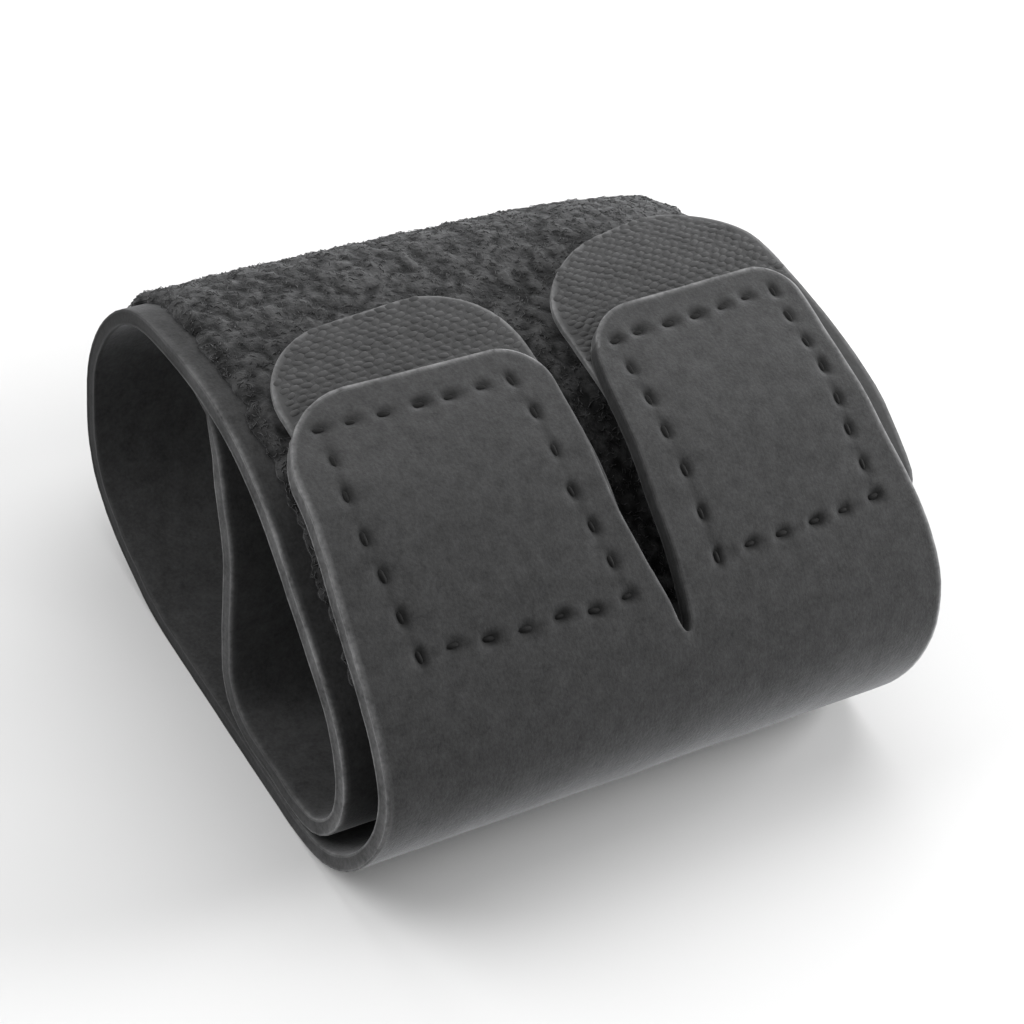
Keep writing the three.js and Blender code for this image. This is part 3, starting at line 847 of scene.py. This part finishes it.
loop_tree = new_tree("pile_loops", "GeometryNodeTree", [
    ("Geometry", "NodeSocketGeometry", None), ("Loop", "NodeSocketObject", None),
    ("Loops per square metre", "NodeSocketFloat", 7e6), ("Smallest", "NodeSocketFloat", 0.6),
    ("Largest", "NodeSocketFloat", 1.3), ("Seed", "NodeSocketInt", 3), ("Fibre", "NodeSocketMaterial", None)],
    [("Geometry", "NodeSocketGeometry")])
made = wired(loop_tree, dict(
    scatter="GeometryNodeDistributePointsOnFaces", shape="GeometryNodeObjectInfo", spin="FunctionNodeRandomValue",
    put="GeometryNodeInstanceOnPoints", size_of="FunctionNodeRandomValue", turn="FunctionNodeRotateRotation",
    real="GeometryNodeRealizeInstances", paint="GeometryNodeSetMaterial",
    top_only="GeometryNodeInputNamedAttribute", many="ShaderNodeMath"), """
    in Geometry > scatter Mesh
    in Seed > scatter Seed
    top_only 0 > many 0
    in Loops per square metre > many 1
    many 0 > scatter Density
    scatter Points > put Points
    in Loop > shape Object
    shape Geometry > put Instance
    scatter Rotation > turn Rotation
    spin 0 > turn Rotate By
    turn Rotation > put Rotation
    in Smallest > size_of 2
    in Largest > size_of 3
    in Seed > size_of Seed
    size_of 1 > put Scale
    put Instances > real Geometry
    real Geometry > paint Geometry
    in Fibre > paint Material
    paint Geometry > out Geometry""", dict(top_only="FLOAT", spin="FLOAT_VECTOR"))
made["top_only"].inputs["Name"].default_value = "loops_here"
made["many"].operation = "MULTIPLY"
for side, turned_by in enumerate(((-0.4, -0.4, -3.14), (0.4, 0.4, 3.14))):
    made["spin"].inputs[side].default_value = turned_by
made["turn"].rotation_space = "LOCAL"


def under_tapes(points):
    """Which points in mm the hook tapes lie on, within about half a millimetre."""
    below = []
    for tape in (near_tape, far_tape):
        at, run = tape_place(tape)
        d, a = at(np.linspace(0, 1, 50)[None, :], np.linspace(0, run, 70)[:, None])
        below.append(strip.place(d, a, tape_top - hook)[0].reshape(-1, 3))
    return tree_of(np.vstack(below))(points) < 0.6


# loops grow on the panel's top, closer together within 0.9 mm of its border, and not where a tape presses them
here = pile_base.data.attributes.new("loops_here", "FLOAT", "POINT")
flags = np.zeros(len(pile_base.data.vertices))
d, a = pile_distance.ravel(), pile_across.ravel()
flags[:d.size] = (1 + 0.8 * (from_border(d, a) < 0.9)) * ~under_tapes(top_path.place(d, a, pile_low + pile)[0])
here.data.foreach_set("value", flags)
loop_shape = tube("pile_loop", [(-0.24, 0.02, -0.07), (-0.02, -0.06, 0.1), (0.24, 0.04, -0.05)],
                  [0.026, 0.038, 0.026], 3, smooth=False)
loops = grown("pile_loops", pile_base, loop_tree, {
    "Loop": loop_shape, "Loops per square metre": 5.1e6, "Seed": 5, "Fibre": pile_fibre})
for piece in (pile_base, loops):
    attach(piece, "root")
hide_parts("pile_panel")

# Hook tapes. A woven tape with moulded hooks below, one under each tab and sewn to it by the box of
# stitches. It runs past the tab's end, where its woven back and its sealed edge show; the light line along
# that edge is frayed fibre with painted highlight.
tape_cloth_thick, weave_under_tab = 0.5, 3.5
weave_pitch_across, weave_pitch_along = 1.06, 0.54
tape_look = new_material("hook_tape_back", 0.05, 0.8, 0.2)
grained(*tape_look, 0.025, 0.044, 700, 2600, 0.4, 0.00008)
# 0.17 is the light frayed fibre with painted highlight all round the tape's sealed edge
tape_cloth = fuzz_highlighted(*tape_look, 0.17)
thread_look = new_material("hook_tape_weave", 0.05, 0.8, 0.16)
tape_thread = grained(*thread_look, 0.026, 0.056, 560, 2400, 0.35, 0.00006)
hook_plastic = grained(*new_material("hook_plastic", 0.05, 0.45, 0.0), 0.04, 0.055, 900, 3000, 0.3, 0.00002)

repeat_tree = new_tree("repeat_along_cloth", "GeometryNodeTree", [
    ("Geometry", "NodeSocketGeometry", None), ("Shape", "NodeSocketObject", None),
    ("Smallest", "NodeSocketFloat", 0.92), ("Largest", "NodeSocketFloat", 1.08), ("Seed", "NodeSocketInt", 2),
    ("Finish", "NodeSocketMaterial", None)], [("Geometry", "NodeSocketGeometry")])
made = wired(repeat_tree, dict(
    dots="GeometryNodeMeshToPoints", along="GeometryNodeInputNamedAttribute",
    out_of_cloth="GeometryNodeInputNamedAttribute", first="FunctionNodeAlignRotationToVector",
    second="FunctionNodeAlignRotationToVector", shape="GeometryNodeObjectInfo", put="GeometryNodeInstanceOnPoints",
    size_of="FunctionNodeRandomValue", real="GeometryNodeRealizeInstances", paint="GeometryNodeSetMaterial"), """
    in Geometry > dots Mesh
    along 0 > first Vector
    first Rotation > second Rotation
    out_of_cloth 0 > second Vector
    dots Points > put Points
    in Shape > shape Object
    shape Geometry > put Instance
    second Rotation > put Rotation
    in Smallest > size_of 2
    in Largest > size_of 3
    in Seed > size_of Seed
    size_of 1 > put Scale
    put Instances > real Geometry
    real Geometry > paint Geometry
    in Finish > paint Material
    paint Geometry > out Geometry""", dict(along="FLOAT_VECTOR", out_of_cloth="FLOAT_VECTOR"))
for label in ("along", "out_of_cloth"):
    made[label].inputs["Name"].default_value = label
made["first"].axis, made["second"].axis, made["second"].pivot_axis = "X", "Z", "X"


def guide(name, path, distance, across, height, heading=None):
    """Loose points on a cloth path, each with the way its shape points and the way out of the cloth."""
    p, up, along = path.place(distance, across, height)
    if heading is not None:
        along = heading
    mesh = bpy.data.meshes.new(name)
    mesh.from_pydata((p * 0.001).tolist(), [], [])
    for label, values in (("along", along), ("out_of_cloth", up)):
        mesh.attributes.new(label, "FLOAT_VECTOR", "POINT").data.foreach_set("vector", np.ravel(values))
    return bpy.data.objects.new(name, mesh)


float_line = [(-0.56, 0, -0.1), (-0.34, 0, -0.025), (0, 0, 0), (0.34, 0, -0.025), (0.56, 0, -0.1)]
float_shape = tube("weave_float", float_line, [0.17, 0.25, 0.27, 0.25, 0.17], 8, flat=0.42)
hook_shape = tube("tape_hook", [(0, 0, 0.05), (0, 0, -0.16), (0.03, 0, -0.27), (0.1, 0, -0.31), (0.17, 0, -0.25)],
                  [0.07, 0.06, 0.055, 0.05, 0.035], 4)
for name, tape, tab, node, seed in (("near_tape", near_tape, near_tab, "near_hook_tape", 51),
                                    ("far_tape", far_tape, far_tab, "far_hook_tape", 61)):
    at, run = tape_place(tape)
    short = np.r_[np.linspace(0, 0.5, 6), np.linspace(0.8, 12, 34), np.linspace(13, run - 4, 12),
                  run - tape_start_corner * np.array([0.8, 0.6, 0.42, 0.27, 0.15, 0.06, 0])][::-1]
    d, a = at(np.linspace(0, 1, 57)[None, :], short[:, None])
    grid = (np.arange(d.size).reshape(d.shape), d, np.broadcast_to(a, d.shape))
    cloth = slab(name + "_cloth", [grid], lambda dd, aa: np.full_like(dd, tape_top - tape_cloth_thick),
                 lambda dd, aa: np.full_like(dd, tape_top - 0.07),
                 dict(path=strip, slots=[tape_cloth] * 3, fuzz=lambda dd, aa: np.ones_like(dd)),
                 rim=0.2, rim_out=0.05, core_in=0.0, cut_seed=seed)
    # woven floats in stepped rows on the back that shows and a little under the tab, short of the sealed edge
    width = (tape["right"] - tape["left"]) * length
    shown_run = (tape["end"] - tab["end"]) * flap_run + weave_under_tab
    spots = []
    for j in range(int(run / weave_pitch_along)):
        s = 0.34 + j * weave_pitch_along
        reach = 1 - s / run
        first = float(corner_in(tape["left_corner"], s))
        wide = width - first - tape["lean"] * reach**3 - float(corner_in(tape["right_corner"], s))
        drift = rng.normal(0, 0.06)
        for i in range(int(width / weave_pitch_across) + 1):
            x = (i + (0.46 * j) % 1) * weave_pitch_across + drift + rng.normal(0, 0.07) - first
            if 0.45 < x < wide - 0.45:
                spots.append((x / wide, s + rng.normal(0, 0.05)))
    spots = np.array(spots)
    d, a = at(spots[:, 0], spots[:, 1])
    shows = (spots[:, 1] < shown_run) & ((a < far_edge(d) + 0.1) | (spots[:, 1] < shown_run - 1))
    d, a = d[shows], a[shows]
    sway = rng.normal(0.22, 0.2, len(d))[:, None]
    way = np.array([[1.0, 0.0, 0.0]]) + sway * strip.place(d, a, 0.0)[2]
    lift = tape_top - 0.098 + rng.normal(0, 0.01, len(d))
    floats = grown(name + "_weave", guide(name + "_weave_guide", strip, d, a, lift, way), repeat_tree,
                   {"Shape": float_shape, "Smallest": 0.86, "Largest": 1.1, "Seed": seed, "Finish": tape_thread})
    # hooks in straight rows below, their mouths turned left and right by turns
    rows, cols = int((run - 2) / 1.5), int((width - 2.4) / 1.3)
    hooks_at = np.array([((1.2 + 1.3 * i + 0.65 * (j % 2)) / width, 1.4 + 1.5 * j)
                         for j in range(rows) for i in range(cols)])
    keep = corner_in(tape["left_corner"], hooks_at[:, 1]) < 1.0 + hooks_at[:, 0] * width * 0.6
    hooks_at = hooks_at[keep]
    d, a = at(hooks_at[:, 0], hooks_at[:, 1])
    flip = np.where(np.arange(len(d)) % 2, 1.0, -1.0)[:, None] * np.array([[1.0, 0.0, 0.0]])
    hooks = grown(name + "_hooks", guide(name + "_hook_guide", strip, d, a, tape_top - tape_cloth_thick, flip),
                  repeat_tree, {"Shape": hook_shape, "Seed": seed + 1, "Finish": hook_plastic})
    for piece in (cloth, floats, hooks):
        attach(piece, "root")
    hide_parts(node)

# Seam threads. One near-black polyester thread round each stitched box. It shows as a short dash sunk in
# the dip at every needle hole and runs hidden in the neoprene between them. Its colour is darker than the
# thread's own black, with the needle hole's shade painted into it.
stitch_look = new_material("seam_thread_and_shade", 0.01, 0.8, 0.0)
thread_and_hole_shade = grained(*stitch_look, 0.002, 0.006, 900, 4000, 0.5, 0.00003)
thread_thick, thread_sunk = 0.5, 0.03
stitch_shape = tube("stitch", [(-0.66, 0, -0.3), (-0.48, 0, -0.09), (-0.2, 0, 0.0), (0.2, 0, 0.0), (0.48, 0, -0.09),
                               (0.66, 0, -0.3)],
                    [thread_thick * s / 2 for s in (0.7, 0.95, 1, 1, 0.95, 0.7)], 8)
for name, holes in (("near_seam_thread", seams[0]), ("far_seam_thread", seams[1])):
    d, a = holes[:, 0], holes[:, 1]
    ahead = np.roll(holes, -1, 0)
    way = strip.place(ahead[:, 0], ahead[:, 1], 0.0)[0] - strip.place(d, a, 0.0)[0]
    seam = grown(name, guide(name + "_guide", strip, d, a, face_high(d, a) - thread_sunk, way), repeat_tree,
                 {"Shape": stitch_shape, "Smallest": 0.8, "Largest": 1.1, "Seed": 9, "Finish": thread_and_hole_shade})
    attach(seam, "root")

# Floor, light and camera. A pale plain floor, big soft lights and the photograph's long lens from above.
floor_mesh = bpy.data.meshes.new("floor")
reach = 3.0
floor_mesh.from_pydata([(x * reach, y * reach, 0) for x, y in ((-1, -1), (1, -1), (1, 1), (-1, 1))], [],
                       [(0, 1, 2, 3)])
floor = bpy.data.objects.new("floor", floor_mesh)
bpy.context.scene.collection.objects.link(floor)
floor_finish = bpy.data.materials.new("pale_floor")
floor_finish.use_nodes = True
floor_shader = floor_finish.node_tree.nodes["Principled BSDF"].inputs
floor_shader["Base Color"].default_value, floor_shader["Roughness"].default_value = (0.74, 0.74, 0.74, 1), 0.9
floor_mesh.materials.append(floor_finish)

world = bpy.context.scene.world or bpy.data.worlds.new("studio")
bpy.context.scene.world = world
world.use_nodes = True
world.node_tree.nodes["Background"].inputs["Color"].default_value = (1, 1, 1, 1)
world.node_tree.nodes["Background"].inputs["Strength"].default_value = 0.3


def soft_light(name, place, size, watts):
    data = bpy.data.lights.new(name, "AREA")
    data.shape, data.size, data.energy = "DISK", size, watts
    light = bpy.data.objects.new(name, data)
    light.location = place
    light.rotation_euler = (Vector((0, 0, 0.01)) - Vector(place)).to_track_quat("-Z", "Y").to_euler()
    bpy.context.scene.collection.objects.link(light)


soft_light("top_light", (0.12, 0.25, 0.43), 0.6, 2.0)
soft_light("side_light", (0.25, -0.06, 0.1), 0.14, 0.85)
soft_light("opening_light", (-0.3, 0.2, 0.25), 0.3, 1.3)

camera_data = bpy.data.cameras.new("camera")
camera_data.lens, camera_data.sensor_width = 105.47, 36
camera_data.clip_start, camera_data.clip_end = 0.01, 20
camera = bpy.data.objects.new("camera", camera_data)
right, above = Vector((0.80722, -0.52812, 0.26360)), Vector((0.22856, 0.69143, 0.68534))
right.normalize()
back = right.cross(above).normalized()
above = back.cross(right)
turned = Matrix((right, above, back)).transposed().to_4x4()
turned.translation = Vector((-0.12680, -0.11495, 0.16872))
camera.matrix_world = turned
bpy.context.scene.collection.objects.link(camera)
bpy.context.scene.camera = camera
bpy.context.scene.view_settings.view_transform = "Standard"
